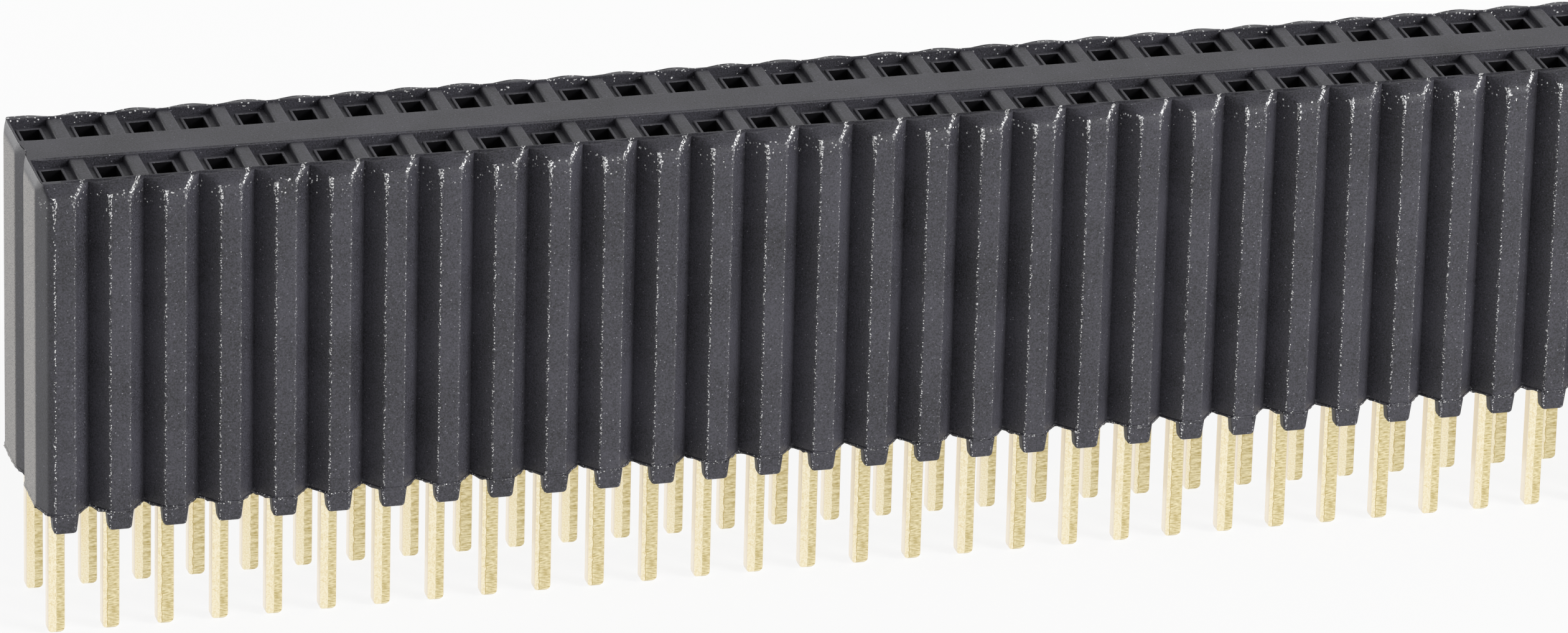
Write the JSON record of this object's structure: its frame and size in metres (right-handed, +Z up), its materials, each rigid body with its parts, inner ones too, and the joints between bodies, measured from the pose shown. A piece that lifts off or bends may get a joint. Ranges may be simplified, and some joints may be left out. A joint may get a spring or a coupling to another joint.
{
  "type": "female pin header strip",
  "caption": "Two-row socket strip: ribbed moulded housing with rectangular pin entries, standoff feet and straight gold plated solder tails.",
  "frame": {"origin": "middle of the strip, in the plane of the tail tips", "axes": "+X along the strip, +Y across it from the front row to the back row, +Z up towards the pin entries"},
  "size_m": [0.0506, 0.005, 0.0114],
  "materials": {
    "housing_plastic": "black glass-filled thermoplastic, as moulded, fine grain",
    "gold_plate": "thin gold plating over stamped copper alloy, striped on the cut edges"
  },
  "bodies": {
    "root": {"housing": "housing_plastic", "contact_pair_01": "gold_plate", "contact_pair_02": "gold_plate", "contact_pair_03": "gold_plate", "contact_pair_04": "gold_plate", "contact_pair_05": "gold_plate", "contact_pair_06": "gold_plate", "contact_pair_07": "gold_plate", "contact_pair_08": "gold_plate", "contact_pair_09": "gold_plate", "contact_pair_10": "gold_plate", "contact_pair_11": "gold_plate", "contact_pair_12": "gold_plate", "contact_pair_13": "gold_plate", "contact_pair_14": "gold_plate", "contact_pair_15": "gold_plate", "contact_pair_16": "gold_plate", "contact_pair_17": "gold_plate", "contact_pair_18": "gold_plate", "contact_pair_19": "gold_plate", "contact_pair_20": "gold_plate", "contact_pair_21": "gold_plate", "contact_pair_22": "gold_plate", "contact_pair_23": "gold_plate", "contact_pair_24": "gold_plate", "contact_pair_25": "gold_plate", "contact_pair_26": "gold_plate", "contact_pair_27": "gold_plate", "contact_pair_28": "gold_plate", "contact_pair_29": "gold_plate", "contact_pair_30": "gold_plate", "contact_pair_31": "gold_plate", "contact_pair_32": "gold_plate", "contact_pair_33": "gold_plate", "contact_pair_34": "gold_plate", "contact_pair_35": "gold_plate", "contact_pair_36": "gold_plate", "contact_pair_37": "gold_plate", "contact_pair_38": "gold_plate", "contact_pair_39": "gold_plate", "contact_pair_40": "gold_plate"}
  },
  "joints": []
}
